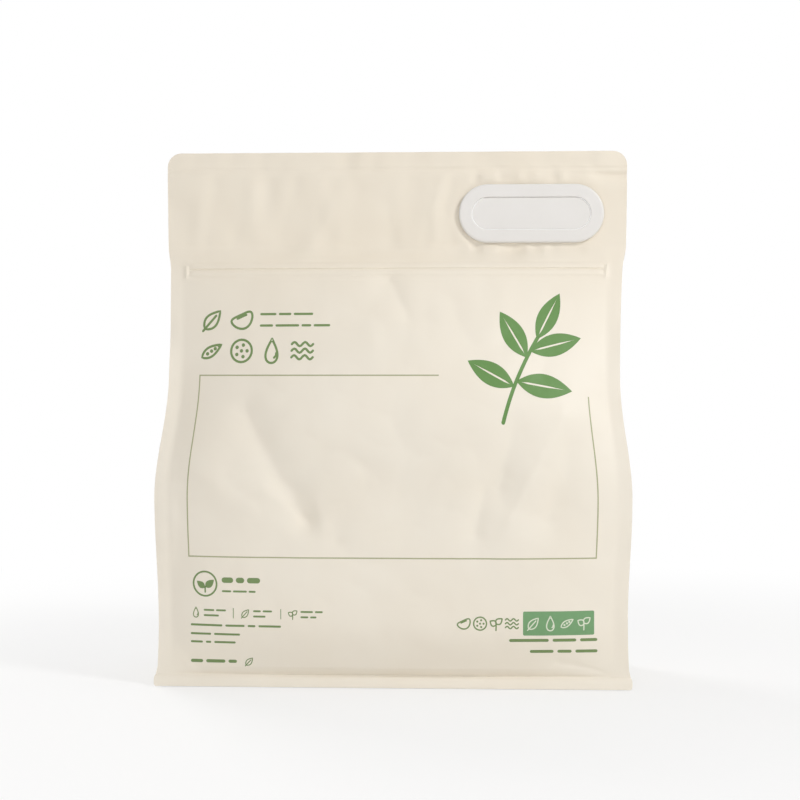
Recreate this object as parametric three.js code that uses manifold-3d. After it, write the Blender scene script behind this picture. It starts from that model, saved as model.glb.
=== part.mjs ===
// Cat litter bag: a filled flat-bottom pouch with folded sides and a clip-on handle.
// Millimetres, +Z up. The origin is on the floor under the middle of the pouch, the front faces -Y.
import * as THREE from 'three';
import { mergeVertices } from 'three/addons/utils/BufferGeometryUtils.js';
import Module from 'manifold-3d';

const wasm = await Module();
wasm.setup();
const { Manifold, Mesh } = wasm;

// Pouch, standing filled
const panelWidth = 300; // front panel, corner seal to corner seal
const pouchHeight = 341;
const baseDepth = 100; // front corner seals to back corner seals at the base
const cornerSeal = 8.5; // width of each upright corner seal
const filmSeal = 1; // thickness of a seal between two panels
const topSeal = 9.5; // height of the seal along the top
const topSealThickness = 1.4;
const topCornerRadius = 9;
const sealStep = 0.8; // height over which the header thins into the top seal
const edgeNotch = 0.4; // depth of the notch between the film edges
const baseSeal = 7; // height of the seal around the base
const baseSealFlare = 2; // how far its lower edge stands out
const baseRest = 14; // from the edge of the base to where it lies flat
const baseGroove = 3; // from the edge of the base to the groove behind its seal
const baseGrooveHeight = 5;
const fillHeight = 118; // the litter holds the base's full rectangle up to here
const litterTop = 190; // above here the sides fold in
const bellyHeight = 42; // the widest swelling of the lower front
const bellySwell = 14;
const fillSwell = 10;
const litterTopSwell = 22;
const litterTopHalfDepth = 35;
const stripSwell = 7;
const stripHalfDepth = 9;
const sideSwell = 5; // outward swelling of the side panels where they are full
const bellyDrawIn = 2.8; // how far each corner seal is drawn in by the swelling
const litterTopDrawIn = 6.7;
const stripDrawIn = 3.6;
const headerMargin = 2; // flat film below the handle, down to where the pouch opens out
const headerHalfDepth = 1.7;
const headerTopHalfDepth = 1.1;

// Press-to-close strip, which shows through the front panel
const stripBelowTop = 77; // its closing line, from the top edge
const stripHeight = 9.5;
const stripRise = 0.9;
const stripLine = 0.7; // depth of the line where its two halves close
const stripStep = 0.7; // height over which its edges rise

// Handle
const ringLength = 94.5;
const ringHeight = 38;
const ringThickness = 2.4;
const ringRound = 0.9;
const slotLength = 77;
const slotHeight = 21;
const handleFromSide = 62; // from the pouch's right edge to the ring's middle
const handleBelowTop = 40.5;
const seat = 0.3; // clearance where two pieces lie against each other
const collarWall = 1.2;
const collarCorner = 3;
const flapThickness = 1.2;
const flapRecess = 0.8;
const flapGap = 0.3;
const flapSwingRoom = 0.6; // free space around the flap behind the ring's lip
const hingeSetIn = 2.2; // from the slot's straight edge to the ends of the hinge
const backRingThickness = 2;
const beadRise = 0.5; // how far the collar's bead stands over the back ring's window
const beadThickness = 0.8;

// Print on the front panel, in the flat film's own measures
const inkThickness = 0.3;
const frameLineWidth = 0.8;
const stemWidth = 2.4;
const frameMargin = 21.5; // from the pouch's side edges
const frameBottom = 82;
const frameTop = 195.5;
const frameGapStart = 31; // the top line stops here, right of the middle
const frameGapEnd = 182; // the right line starts at this height
const markFromSide = 64; // from the pouch's right edge to the middle of the large mark
const markHeight = 207;
const markSize = 82;
const labelFromSide = 44; // from the pouch's right edge to the middle of the label field
const labelHeight = 42;
const labelLength = 45;
const labelTall = 15;
const labelCorner = 1;

// Mesh steps
const across = 24; // steps across a panel
const filletSteps = 5;
const ovalSteps = 8; // steps around a quarter of the handle's ovals
const gussetAt = [-1, -0.6, -0.25, 0, 0.25, 0.6, 1];

const filmMaterial = new THREE.MeshStandardMaterial({ color: 0xe8e0d2, roughness: 0.6, metalness: 0 });
const plasticMaterial = new THREE.MeshStandardMaterial({ color: 0xe8e4dd, roughness: 0.35, metalness: 0 });
const inkMaterial = new THREE.MeshStandardMaterial({ color: 0x739a60, roughness: 0.6, metalness: 0 });
const fineInkMaterial = new THREE.MeshStandardMaterial({ color: 0xa3ab84, roughness: 0.6, metalness: 0 });

const stripZ = pouchHeight - stripBelowTop;
const sealZ = pouchHeight - topSeal;
const headerZ = pouchHeight - handleBelowTop - ringHeight / 2 - headerMargin;
const slotX = panelWidth / 2 - handleFromSide;
const slotZ = pouchHeight - handleBelowTop;

// The pouch at a few heights: how far each side is drawn in, half the depth between its corner
// seals, how far the panels swell past the seals, and how far the sides swell.
const levels = [
  { z: 0, drawIn: 0, halfDepth: baseDepth / 2, swell: 0.5, side: 0.5 },
  { z: bellyHeight, drawIn: bellyDrawIn, halfDepth: baseDepth / 2, swell: bellySwell, side: sideSwell },
  { z: fillHeight, drawIn: 0, halfDepth: baseDepth / 2, swell: fillSwell, side: sideSwell },
  { z: litterTop, drawIn: litterTopDrawIn, halfDepth: litterTopHalfDepth, swell: litterTopSwell, side: 0 },
  { z: stripZ, drawIn: stripDrawIn, halfDepth: stripHalfDepth, swell: stripSwell, side: 0 },
  { z: headerZ, drawIn: 0.8, halfDepth: headerHalfDepth, swell: 0, side: 0 },
  { z: sealZ, drawIn: 0, halfDepth: headerTopHalfDepth, swell: 0, side: 0 },
];

// Creases pressed into the front panel, with the ridge between two of them. Each end is given by
// its shares of half the panel's width and of the pouch's height.
const creases = [
  { from: [-0.58, 0.484], to: [-0.373, 0.314], width: 13, depth: 5 },
  { from: [-0.007, 0.736], to: [0.053, 0.683], width: 11, depth: 2.5 },
  { from: [0.48, 0.455], to: [0.413, 0.358], width: 12, depth: 4 },
  { from: [0.367, 0.349], to: [0.327, 0.284], width: 10, depth: 4 },
  { from: [0.72, 0.425], to: [0.66, 0.317], width: 12, depth: 3.5 },
  { from: [0.693, 0.504], to: [0.507, 0.328], width: 11, depth: -2.5 },
];

// A smooth value between levels, without overshoot.
function level(z, key) {
  const last = levels.length - 1;
  let i = 0;
  while (i < last - 1 && z > levels[i + 1].z) i++;
  const slope = (k) => {
    if (k <= 0 || k >= last) return 0;
    const before = (levels[k][key] - levels[k - 1][key]) / (levels[k].z - levels[k - 1].z);
    const after = (levels[k + 1][key] - levels[k][key]) / (levels[k + 1].z - levels[k].z);
    return before * after <= 0 ? 0 : (2 * before * after) / (before + after);
  };
  const low = levels[i];
  const high = levels[i + 1];
  const span = high.z - low.z;
  const t = THREE.MathUtils.clamp((z - low.z) / span, 0, 1);
  const rise = t * t * (3 - 2 * t);
  const bendLow = t * (1 - t) * (1 - t) * span;
  const bendHigh = t * t * (t - 1) * span;
  return low[key] + (high[key] - low[key]) * rise + slope(i) * bendLow + slope(i + 1) * bendHigh;
}

function halfWidthAt(z) {
  return panelWidth / 2 - level(z, 'drawIn');
}

function onPanel([acrossShare, upShare]) {
  return [(acrossShare * panelWidth) / 2, upShare * pouchHeight];
}

// How deep the front is pressed in at a point of the panel.
function creaseDepth(x, z) {
  let total = 0;
  for (const crease of creases) {
    const [x0, z0] = onPanel(crease.from);
    const [x1, z1] = onPanel(crease.to);
    const [dx, dz] = [x1 - x0, z1 - z0];
    const t = THREE.MathUtils.clamp(((x - x0) * dx + (z - z0) * dz) / (dx * dx + dz * dz), 0, 1);
    const away = Math.hypot(x - x0 - t * dx, z - z0 - t * dz) / crease.width;
    total += crease.depth * Math.exp(-away * away);
  }
  return total;
}

// The raised band of the closing strip, with the line along its middle.
function stripRelief(z) {
  const away = Math.abs(z - stripZ);
  const band = 1 - THREE.MathUtils.smoothstep(away, stripHeight / 2 - stripStep, stripHeight / 2);
  const line = 1 - THREE.MathUtils.smoothstep(away, 0, stripStep);
  return band * stripRise - line * (stripRise + stripLine);
}

// One closed outline of the pouch as seen from above, at height z. Every outline has the same
// points in the same order: front panel, right gusset, back panel, left gusset.
function outline(z, shape) {
  const { halfWidth, halfDepth, half, seal, swell, side, crease, relief } = shape;
  const root = halfWidth - seal;
  const points = [];
  const panel = (facing) => {
    const edge = halfDepth + half;
    points.push([-facing * halfWidth, facing * edge * -1, z]);
    for (let k = 0; k <= across; k++) {
      const u = facing * ((2 * k) / across - 1);
      const pressed = relief && facing > 0 ? creaseDepth(u * root, z) * (1 - u ** 8) - stripRelief(z) : 0;
      points.push([u * root, -facing * (edge + swell * (1 - u * u) - pressed), z]);
    }
    points.push([facing * halfWidth, -facing * edge, z]);
  };
  const gusset = (right) => {
    const inner = halfDepth - half;
    points.push([right * halfWidth, -right * inner, z]);
    for (const at of gussetAt) {
      const v = right * at;
      const x = root + side * (1 - v * v) - crease * (1 - Math.abs(v));
      points.push([right * x, v * inner, z]);
    }
    points.push([right * halfWidth, right * inner, z]);
  };
  panel(1);
  gusset(1);
  panel(-1);
  gusset(-1);
  return points;
}

function bodyOutline(z) {
  const halfDepth = level(z, 'halfDepth');
  const folded = Math.sqrt(Math.max(0, (baseDepth / 2) ** 2 - halfDepth ** 2));
  return outline(z, {
    halfWidth: halfWidthAt(z), halfDepth, half: filmSeal / 2, seal: cornerSeal,
    swell: level(z, 'swell'), side: level(z, 'side'), crease: folded, relief: true,
  });
}

// The top seal is thinner than the header and its upper corners are round.
function topOutline(z) {
  const above = THREE.MathUtils.clamp(1 - (pouchHeight - z) / topCornerRadius, 0, 1);
  const cut = topCornerRadius * (1 - Math.sqrt(1 - above ** 2));
  const half = topSealThickness / 8;
  return outline(z, {
    halfWidth: panelWidth / 2 - cut, halfDepth: topSealThickness / 2 - half, half, seal: edgeNotch,
    swell: 0, side: 0, crease: 0, relief: false,
  });
}

// An outline drawn in from the base's edge by `inset`, for the floor of the pouch and its groove.
function baseOutline(z, inset) {
  return outline(z, {
    halfWidth: panelWidth / 2 - cornerSeal - inset, halfDepth: baseDepth / 2 - inset,
    half: filmSeal / 2, seal: edgeNotch, swell: 0.5, side: 0.5, crease: 0, relief: false,
  });
}

// The lower edge of the base seal, which reaches out to the corner seals.
function skirtOutline(z) {
  return outline(z, {
    halfWidth: panelWidth / 2, halfDepth: baseDepth / 2 + baseSealFlare, half: filmSeal / 2,
    seal: cornerSeal, swell: 0.5, side: baseSealFlare, crease: 0, relief: false,
  });
}

function spread(from, to, count) {
  return Array.from({ length: count }, (_, k) => from + ((to - from) * k) / count);
}

function bodyHeights() {
  const low = stripZ - stripHeight / 2;
  const high = stripZ + stripHeight / 2;
  return [
    ...spread(baseSeal, fillHeight, 10),
    ...spread(fillHeight, litterTop, 6),
    ...spread(litterTop, low - 2 * stripStep, 6),
    low - stripStep / 2, low + stripStep, stripZ - stripStep, stripZ, stripZ + stripStep,
    high - stripStep, high + stripStep / 2,
    ...spread(high + 2 * stripStep, sealZ, 6),
    sealZ,
  ];
}

function topHeights() {
  const cornerZ = pouchHeight - topCornerRadius;
  const turned = Array.from({ length: filletSteps }, (_, k) => (Math.PI / 2) * ((k + 1) / filletSteps));
  return [sealZ + sealStep, ...turned.map((a) => cornerZ + topCornerRadius * Math.sin(a))];
}

// Joins stacked outlines into one closed skin, with a flat lid at each end.
function loft(outlines) {
  const count = outlines[0].length;
  const positions = outlines.flat(2);
  const index = [];
  for (let r = 0; r + 1 < outlines.length; r++) {
    for (let k = 0; k < count; k++) {
      const a = r * count + k;
      const b = r * count + ((k + 1) % count);
      index.push(a, b, b + count, a, b + count, a + count);
    }
  }
  const bottomMiddle = positions.length / 3;
  const topMiddle = bottomMiddle + 1;
  positions.push(0, 0, outlines[0][0][2], 0, 0, outlines.at(-1)[0][2]);
  const last = (outlines.length - 1) * count;
  for (let k = 0; k < count; k++) {
    const next = (k + 1) % count;
    index.push(bottomMiddle, next, k, topMiddle, last + k, last + next);
  }
  const geometry = new THREE.BufferGeometry();
  geometry.setAttribute('position', new THREE.Float32BufferAttribute(positions, 3));
  geometry.setIndex(index);
  return geometry;
}

function toSolid(geometry) {
  const bare = geometry.clone();
  bare.deleteAttribute('normal');
  bare.deleteAttribute('uv');
  const merged = mergeVertices(bare, 1e-4);
  return new Manifold(new Mesh({
    numProp: 3,
    vertProperties: new Float32Array(merged.attributes.position.array),
    triVerts: new Uint32Array(merged.index.array),
  }));
}

function toMesh(name, solid, material) {
  const { vertProperties, triVerts } = solid.getMesh();
  const geometry = new THREE.BufferGeometry();
  geometry.setAttribute('position', new THREE.BufferAttribute(vertProperties, 3));
  geometry.setIndex(new THREE.BufferAttribute(triVerts, 1));
  geometry.computeVertexNormals();
  const mesh = new THREE.Mesh(geometry, material);
  mesh.name = name;
  return mesh;
}

// A flat shape drawn in X and Z, given thickness from y = near back to y = far.
function slab(shape, near, far, options = {}) {
  const plain = { depth: far - near, bevelEnabled: false, curveSegments: 4 };
  const geometry = new THREE.ExtrudeGeometry(shape, { ...plain, ...options });
  geometry.rotateX(Math.PI / 2);
  geometry.translate(0, far, 0);
  return geometry;
}

function roundedRect(x, z, width, height, radius) {
  const shape = new THREE.Shape();
  const [w, h] = [width / 2 - radius, height / 2 - radius];
  shape.absarc(x + w, z + h, radius, 0, Math.PI / 2);
  shape.absarc(x - w, z + h, radius, Math.PI / 2, Math.PI);
  shape.absarc(x - w, z - h, radius, Math.PI, Math.PI * 1.5);
  shape.absarc(x + w, z - h, radius, Math.PI * 1.5, Math.PI * 2);
  return shape;
}

function stadium(length, height) {
  return roundedRect(slotX, slotZ, length, height, height / 2);
}

// The handle's depths, from the film outwards and through to the back.
const filmHalf = headerHalfDepth + filmSeal / 2;
const ringBack = -filmHalf - seat;
const ringFace = ringBack - ringThickness;
const flapMiddle = ringFace + flapRecess + flapThickness / 2;
const lipBack = flapMiddle + flapThickness / 2 + 0.1;
const backRingFront = filmHalf + seat;
const backRingBack = backRingFront + backRingThickness;
const beadFront = backRingBack + seat;
const collarEnd = beadFront + beadThickness;
const hingeZ = slotZ + slotHeight / 2 - flapGap - flapThickness / 2;

// Inside the collar the opening is a little larger than the flap, so that the flap swings free.
const collarInsideLength = slotLength - 2 * flapGap + 2 * flapSwingRoom;
const collarInsideTop = hingeZ + flapThickness / 2 + flapSwingRoom;
const collarInsideBottom = slotZ - slotHeight / 2 + flapGap - flapSwingRoom;

function collarShape(outwards) {
  const height = collarInsideTop - collarInsideBottom;
  const middle = (collarInsideTop + collarInsideBottom) / 2;
  const radius = collarCorner - collarWall + outwards;
  return roundedRect(slotX, middle, collarInsideLength + 2 * outwards, height + 2 * outwards, radius);
}

function makePouch() {
  const outlines = [
    baseOutline(0, baseRest),
    baseOutline(baseGrooveHeight, baseGroove),
    baseOutline(0, filmSeal - baseSealFlare),
    skirtOutline(0),
    ...bodyHeights().map(bodyOutline),
    ...topHeights().map(topOutline),
  ];
  const hole = toSolid(slab(collarShape(collarWall + seat), -baseDepth, baseDepth));
  return toSolid(loft(outlines)).subtract(hole);
}

function makeFrontRing() {
  const face = stadium(ringLength - 2 * ringRound, ringHeight - 2 * ringRound);
  face.holes.push(stadium(slotLength + 2 * ringRound, slotHeight + 2 * ringRound));
  const rounded = { bevelEnabled: true, bevelSize: ringRound, bevelThickness: ringRound, bevelSegments: 2,
    curveSegments: ovalSteps };
  const plate = slab(face, ringFace + ringRound, ringBack + ringThickness, rounded);
  const trim = slab(roundedRect(slotX, slotZ, 2 * ringLength, 2 * ringHeight, 1), ringFace, ringBack);
  const collar = slab(collarShape(collarWall), lipBack, collarEnd);
  const bead = slab(collarShape(collarWall + seat + beadRise), beadFront, collarEnd);
  const inside = slab(collarShape(0), lipBack, collarEnd + 1);
  return toSolid(plate).intersect(toSolid(trim)).add(toSolid(collar)).add(toSolid(bead))
    .subtract(toSolid(inside));
}

function makeBackRing() {
  const shape = stadium(ringLength, ringHeight);
  const window = collarShape(collarWall + seat);
  shape.holes.push(window);
  return toSolid(slab(shape, backRingFront, backRingBack, { curveSegments: ovalSteps }));
}

// The flap closes the slot from its hinge down, and its upper edge is round about the hinge.
function makeFlap() {
  const near = flapMiddle - flapThickness / 2;
  const full = toSolid(slab(stadium(slotLength - 2 * flapGap, slotHeight - 2 * flapGap), near,
    near + flapThickness, { curveSegments: ovalSteps }));
  const hingeLength = slotLength - slotHeight + 2 * hingeSetIn;
  const shoulder = 1.3 * flapThickness;
  const below = slab(roundedRect(slotX, hingeZ - shoulder - slotHeight, 2 * slotLength, 2 * slotHeight, 1),
    near - 1, near + flapThickness + 1);
  const tongue = slab(roundedRect(slotX, hingeZ - slotHeight / 2, hingeLength, slotHeight, 0.1),
    near - 1, near + flapThickness + 1);
  const barrel = new THREE.CylinderGeometry(flapThickness / 2, flapThickness / 2, hingeLength, 12);
  barrel.rotateZ(Math.PI / 2);
  barrel.translate(slotX, flapMiddle, hingeZ);
  return full.intersect(toSolid(below).add(toSolid(tongue))).add(toSolid(barrel));
}

// Where a point of the flat film lies on the standing pouch.
function printed(fromMiddle, z) {
  return [(fromMiddle * halfWidthAt(z)) / (panelWidth / 2), z];
}

// A layer of ink on the front: what lies between two copies of the pouch moved forwards.
function inkLayer(solid) {
  return solid.intersect(pouch.translate([0, -seat - inkThickness, 0])).subtract(pouch.translate([0, -seat, 0]));
}

function inkSolid(shape) {
  return toSolid(slab(shape, -baseDepth, -baseDepth / 8));
}

// A band of constant width along a line of points.
function band(points, width) {
  const side = (sign) => points.map(([x, z], k) => {
    const before = points[Math.max(0, k - 1)];
    const after = points[Math.min(points.length - 1, k + 1)];
    const along = new THREE.Vector2(after[0] - before[0], after[1] - before[1]).normalize();
    const into = new THREE.Vector2(x - before[0], z - before[1]).normalize();
    const mitre = k > 0 && k < points.length - 1 ? 1 / Math.max(0.5, along.dot(into)) : 1;
    const reach = (sign * width * mitre) / 2;
    return new THREE.Vector2(x - along.y * reach, z + along.x * reach);
  });
  return new THREE.Shape([...side(1), ...side(-1).reverse()]);
}

function makeFrameLine() {
  const left = -panelWidth / 2 + frameMargin;
  const right = panelWidth / 2 - frameMargin;
  const steps = 8;
  const points = [
    printed(frameGapStart, frameTop),
    ...spread(frameTop, frameBottom, steps).map((z) => printed(left, z)),
    printed(left, frameBottom),
    ...spread(frameBottom, frameGapEnd, steps).map((z) => printed(right, z)),
    printed(right, frameGapEnd),
  ];
  return inkLayer(inkSolid(band(points, frameLineWidth)));
}

// A leaf from its foot to its tip, with both edges curved.
function leaf(foot, angle, length, width) {
  const along = new THREE.Vector2(Math.cos(angle), Math.sin(angle));
  const across = new THREE.Vector2(-along.y, along.x);
  const at = (t, s) => foot.clone().addScaledVector(along, t * length).addScaledVector(across, s * width);
  const shape = new THREE.Shape();
  const [start, tip] = [at(0, 0), at(1, 0)];
  const edge = (s) => [at(0.3, s), at(0.72, 0.8 * s)];
  const [left, right] = [edge(0.66), edge(-0.66).reverse()];
  shape.moveTo(start.x, start.y);
  shape.bezierCurveTo(left[0].x, left[0].y, left[1].x, left[1].y, tip.x, tip.y);
  shape.bezierCurveTo(right[0].x, right[0].y, right[1].x, right[1].y, start.x, start.y);
  return shape;
}

// A sprig of five leaves: where each leaves the stem, its direction in degrees, length and width,
// both as shares of the mark's size.
const leaves = [
  { at: 0.96, turn: 64, length: 0.4, width: 0.15 },
  { at: 0.8, turn: 14, length: 0.42, width: 0.16 },
  { at: 0.72, turn: 122, length: 0.42, width: 0.16 },
  { at: 0.44, turn: -10, length: 0.45, width: 0.17 },
  { at: 0.38, turn: 152, length: 0.42, width: 0.16 },
];

function makeMark() {
  const middle = new THREE.Vector2(...printed(panelWidth / 2 - markFromSide, markHeight));
  const place = (x, z) => new THREE.Vector2(middle.x + x * markSize, middle.y + z * markSize);
  const stem = new THREE.QuadraticBezierCurve(place(-0.17, -0.5), place(-0.05, -0.12), place(0.12, 0.16));
  const line = stem.getPoints(8).map((p) => [p.x, p.y]);
  const pieces = [inkSolid(band(line, stemWidth))];
  for (const { at, turn, length, width } of leaves) {
    const shape = leaf(stem.getPoint(at), THREE.MathUtils.degToRad(turn), length * markSize, width * markSize);
    pieces.push(inkSolid(shape));
  }
  return inkLayer(Manifold.union(pieces));
}

function makeLabelField() {
  const [x, z] = printed(panelWidth / 2 - labelFromSide, labelHeight);
  return inkLayer(inkSolid(roundedRect(x, z, labelLength, labelTall, labelCorner)));
}

const pouch = makePouch();

const litterBag = new THREE.Group();
litterBag.add(
  toMesh('pouch', pouch, filmMaterial),
  toMesh('handle_front_ring', makeFrontRing(), plasticMaterial),
  toMesh('handle_back_ring', makeBackRing(), plasticMaterial),
  toMesh('handle_flap', makeFlap(), plasticMaterial),
  toMesh('printed_frame_line', makeFrameLine(), fineInkMaterial),
  toMesh('printed_leaf_mark', makeMark(), inkMaterial),
  toMesh('printed_label_field', makeLabelField(), inkMaterial),
);

export default litterBag;
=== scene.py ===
# Cat litter bag: a filled flat-bottom pouch of matt film with a clip-on handle and green print.
# Sizes are in millimetres until they reach Blender, the front faces -Y.
import math

import bmesh
import bpy
import numpy as np
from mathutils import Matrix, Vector
from mathutils.geometry import tessellate_polygon


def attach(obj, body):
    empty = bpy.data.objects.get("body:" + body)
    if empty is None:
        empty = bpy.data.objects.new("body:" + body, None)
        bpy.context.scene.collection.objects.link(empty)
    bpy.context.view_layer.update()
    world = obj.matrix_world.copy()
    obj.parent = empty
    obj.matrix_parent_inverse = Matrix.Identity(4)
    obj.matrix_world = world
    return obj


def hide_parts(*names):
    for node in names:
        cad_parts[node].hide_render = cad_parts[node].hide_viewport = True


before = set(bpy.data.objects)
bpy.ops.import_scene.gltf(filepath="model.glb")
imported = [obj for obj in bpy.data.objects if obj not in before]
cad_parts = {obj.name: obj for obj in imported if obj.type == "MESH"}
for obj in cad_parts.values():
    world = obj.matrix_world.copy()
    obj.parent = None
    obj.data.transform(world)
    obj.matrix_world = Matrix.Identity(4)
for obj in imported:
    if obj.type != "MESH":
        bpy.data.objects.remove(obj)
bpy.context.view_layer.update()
mm = 0.001


# Node maths as Python expressions
class Sock:
    def __init__(self, nodes, socket):
        self.nodes, self.socket = nodes, socket

    def __add__(self, other):
        return self.nodes.maths("ADD", self, other)

    def __radd__(self, other):
        return self.nodes.maths("ADD", other, self)

    def __sub__(self, other):
        return self.nodes.maths("SUBTRACT", self, other)

    def __rsub__(self, other):
        return self.nodes.maths("SUBTRACT", other, self)

    def __mul__(self, other):
        return self.nodes.maths("MULTIPLY", self, other)

    def __rmul__(self, other):
        return self.nodes.maths("MULTIPLY", other, self)


class Nodes:
    def __init__(self, tree):
        self.tree = tree
        tree.nodes.clear()

    def add(self, kind, settings=None, sockets=None):  # any node: its type, settings, then sockets
        node = self.tree.nodes.new(kind)
        for key, value in (settings or {}).items():
            setattr(node, key, value)
        for key, value in (sockets or {}).items():
            value = getattr(value, "socket", value)
            if isinstance(value, bpy.types.NodeSocket):
                self.tree.links.new(value, node.inputs[key])
            else:
                node.inputs[key].default_value = value
        return node

    def value(self, node, name=0):
        return Sock(self, node.outputs[name])

    def maths(self, operation, *values):
        return self.value(self.add("ShaderNodeMath", {"operation": operation}, dict(enumerate(values))))

    def smoothStep(self, value, start, end, low, high):
        sockets = {"Value": value, "From Min": start, "From Max": end, "To Min": low, "To Max": high}
        return self.value(self.add("ShaderNodeMapRange", {"interpolation_type": "SMOOTHSTEP"}, sockets))


class Finish(Nodes):
    def __init__(self, name, **fixed):
        self.material = bpy.data.materials.new(name)
        self.material.use_nodes = True
        super().__init__(self.material.node_tree)
        self.output = self.add("ShaderNodeOutputMaterial")
        self.shader = self.add("ShaderNodeBsdfPrincipled", {}, fixed)
        self.tree.links.new(self.shader.outputs[0], self.output.inputs[0])

    def place(self):
        return self.value(self.add("ShaderNodeTexCoord"), "Object")

    def noise(self, size, detail=3, rough=0.5, stretch=(1, 1, 1)):  # size in millimetres
        spread = [share / (size * mm) for share in stretch]
        at = self.add("ShaderNodeMapping", {}, {"Vector": self.place(), "Scale": spread})
        sockets = {"Vector": self.value(at), "Scale": 1, "Detail": detail, "Roughness": rough}
        return self.value(self.add("ShaderNodeTexNoise", {}, sockets))

    def blend(self, factor, first, second):
        settings = {"data_type": "RGBA"}
        node = self.add("ShaderNodeMix", settings, {0: factor, 6: first, 7: second})
        return self.value(node, 2)

    def bump(self, height, distance):  # distance in millimetres
        sockets = {"Height": height, "Distance": distance * mm, "Strength": 1}
        return self.value(self.add("ShaderNodeBump", {}, sockets))

    def feed(self, name, value):
        self.tree.links.new(value.socket, self.shader.inputs[name])


def colour(r, g, b):  # from the 0 to 255 a picture shows
    linear = [(c / 255 / 12.92) if c < 10 else ((c / 255 + 0.055) / 1.055) ** 2.4 for c in (r, g, b)]
    return (*linear, 1)


# Materials
filmLook = {
    "cream": colour(240, 233, 220),
    "warm": colour(236, 226, 209),
    "warmFrom": (0.2, 0.3),  # metres up: the film over the litter looks a little cooler
    "warmRise": 0.55,
    "warmShare": 0.25,
    "patchShare": 0.9,
    "patchSize": 60,
    "roughness": 0.52,
    "roughnessSpread": 0.08,
    "grainSize": 0.45,
    "grainDepth": 0.012,
    "rippleSize": 9,
    "rippleDepth": 0.05,
    "ior": 1.45,
}


def makeFilm():
    look = filmLook
    film = Finish("mattFilm", **{"Roughness": look["roughness"], "IOR": look["ior"]})
    patches = film.noise(look["patchSize"], detail=4)
    up = film.value(film.add("ShaderNodeSeparateXYZ", {}, {0: film.place()}), 2)
    warmth = film.smoothStep(up, *look["warmFrom"], 0, look["warmRise"])
    warmth = warmth + (patches - 0.5) * look["patchShare"] + look["warmShare"]
    film.feed("Base Color", film.blend(warmth, look["cream"], look["warm"]))
    grain = film.noise(look["grainSize"], detail=2)
    ripple = film.noise(look["rippleSize"], stretch=(1, 1, 0.6))
    height = ripple * (look["rippleDepth"] / look["grainDepth"]) + grain
    film.feed("Normal", film.bump(height, look["grainDepth"]))
    spread = look["roughnessSpread"]
    film.feed("Roughness", patches * spread + (look["roughness"] - spread / 2))
    return film.material


plasticLook = {
    "white": colour(233, 230, 227),
    "shade": colour(228, 225, 221),
    "roughness": 0.36,
    "roughnessSpread": 0.1,
    "patchSize": 18,
    "grainSize": 0.6,
    "grainDepth": 0.006,
    "ior": 1.49,
}


def makePlastic():
    look = plasticLook
    plastic = Finish("mouldedPlastic", **{"IOR": look["ior"]})
    patches = plastic.noise(look["patchSize"])
    plastic.feed("Base Color", plastic.blend(patches, look["white"], look["shade"]))
    spread = look["roughnessSpread"]
    plastic.feed("Roughness", patches * spread + (look["roughness"] - spread / 2))
    plastic.feed("Normal", plastic.bump(plastic.noise(look["grainSize"], detail=1), look["grainDepth"]))
    return plastic.material


inkLook = {
    "mark": (colour(103, 144, 80), colour(95, 135, 71)),
    "words": (colour(121, 145, 93), colour(112, 137, 85)),
    "line": (colour(176, 176, 140), colour(166, 167, 131)),
    "field": (colour(120, 162, 116), colour(112, 155, 108)),
    "pale": (colour(222, 228, 208), colour(214, 221, 200)),
    "roughness": 0.5,
    "roughnessSpread": 0.1,
    "mottleSize": 2.5,
    "ior": 1.45,
}


def makeInk(name):
    look = inkLook
    ink = Finish(name + "Ink", **{"IOR": look["ior"]})
    mottle = ink.noise(look["mottleSize"], detail=4, rough=0.6)
    ink.feed("Base Color", ink.blend(mottle, *look[name]))
    spread = look["roughnessSpread"]
    ink.feed("Roughness", mottle * spread + (look["roughness"] - spread / 2))
    return ink.material


# The pouch's form, by the same levels as its solid
pouch = {
    "panelWidth": 300,
    "height": 341,
    "baseDepth": 100,
    "cornerSeal": 8.5,
    "film": 0.5,
    "topSeal": 9.5,
    "topSealThickness": 0.9,
    "topCornerRadius": 9,
    "baseSeal": 7,
    # the base by height and distance in from its edge, its seal by height, distance out and cut ends
    "baseRings": [(0, 47), (0, 38), (0, 28), (0, 14), (3, 8), (5, 3), (0, -1.2)],
    "sealRings": [(0, 3, 1), (0.9, 2.9, 0.2), (2.8, 2.5, 0), (4.8, 1.8, 0), (6.2, 1, 0.3)],
    "stripBelowTop": 77,
    "stripHeight": 9.5,
    "handleFromSide": 62,
    "handleBelowTop": 40.5,
    "headerBelowHandle": 21,
    "step": 2,  # between the rings of points over the litter
    "stripStep": 0.6,
    "headerStep": 1.8,
    "footRings": 12,
    "sealRoundRings": 11,
}
stripZ = pouch["height"] - pouch["stripBelowTop"]
sealZ = pouch["height"] - pouch["topSeal"]
slotX = pouch["panelWidth"] / 2 - pouch["handleFromSide"]
slotZ = pouch["height"] - pouch["handleBelowTop"]
headerZ = slotZ - pouch["headerBelowHandle"]
fillZ = 262  # the film above it holds no litter
footZ = 15  # the film has turned upright
gatherZ = 325  # the film starts to close into the top seal
rootX = pouch["panelWidth"] / 2 - pouch["cornerSeal"]  # flat film, from its middle to a corner seal

levels = {
    "z": [0, 7, 13, 42, 118, 190, stripZ, headerZ, gatherZ, sealZ],
    "drawIn": [0, 0.9, 2.1, 2.8, 0, 6.7, 3.6, 0.8, 0.1, 0],
    "halfDepth": [50, 50, 50, 50, 50, 35, 9, 1.7, 1.2, 0.4],
    "swell": [0.5, 0.5, 4.9, 14, 10, 22, 7, 0, 0, 0],
    "side": [0.5, 0.5, 1.8, 5, 5, 0, 0, 0, 0, 0],
}


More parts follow.
